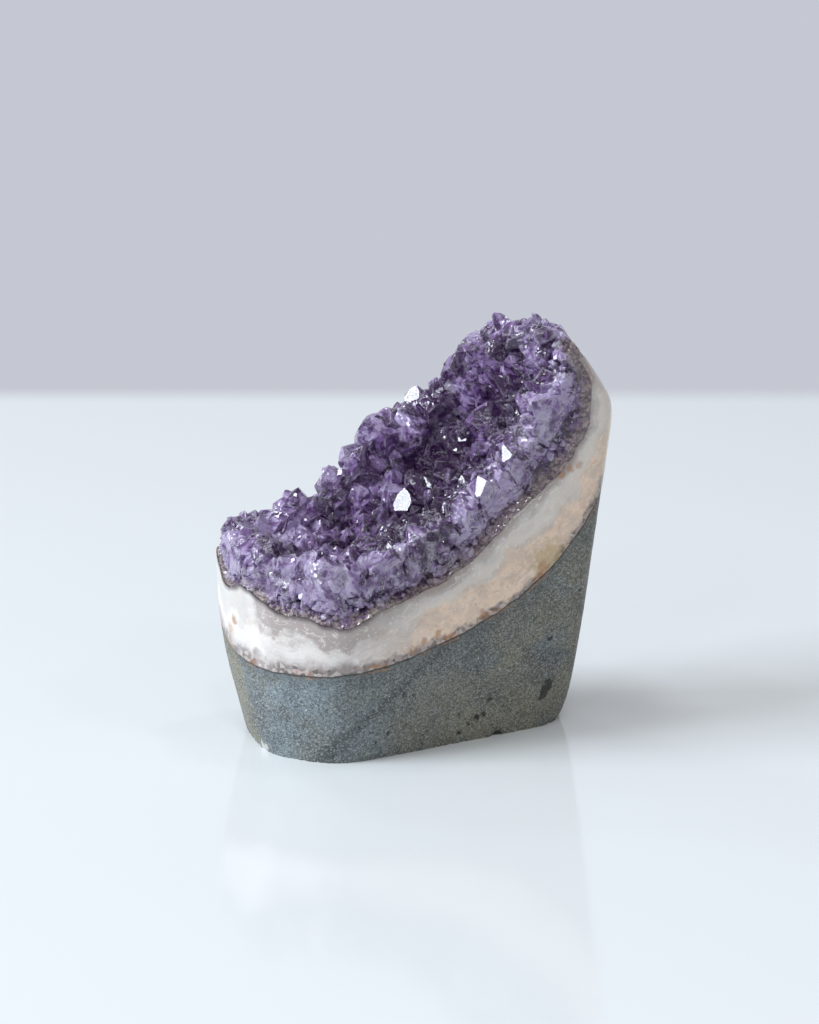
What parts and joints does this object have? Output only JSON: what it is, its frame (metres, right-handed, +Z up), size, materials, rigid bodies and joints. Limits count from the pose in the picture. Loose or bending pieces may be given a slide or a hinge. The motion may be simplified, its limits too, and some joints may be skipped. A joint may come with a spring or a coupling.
{
  "type": "amethyst freeform",
  "caption": "Ground and polished piece of geode wall on a flat saw-cut base, with a basalt foot, a pale agate band and a dished crust of amethyst points.",
  "frame": {"origin": "in the flat saw-cut base, under the middle of the stone", "axes": "+Z up from the base, +X right along the long side as the picture shows it, +Y away from the front"},
  "size_m": [0.0856, 0.0535, 0.0912],
  "materials": {
    "basalt": "fine ground, matt to satin, grey green",
    "agate": "polished, banded white to peach",
    "amethyst": "clear violet quartz, natural glassy faces, polished at the rim"
  },
  "bodies": {
    "root": {"basalt_base": "basalt", "agate_band": "agate", "amethyst_crystals": "amethyst"}
  },
  "joints": []
}
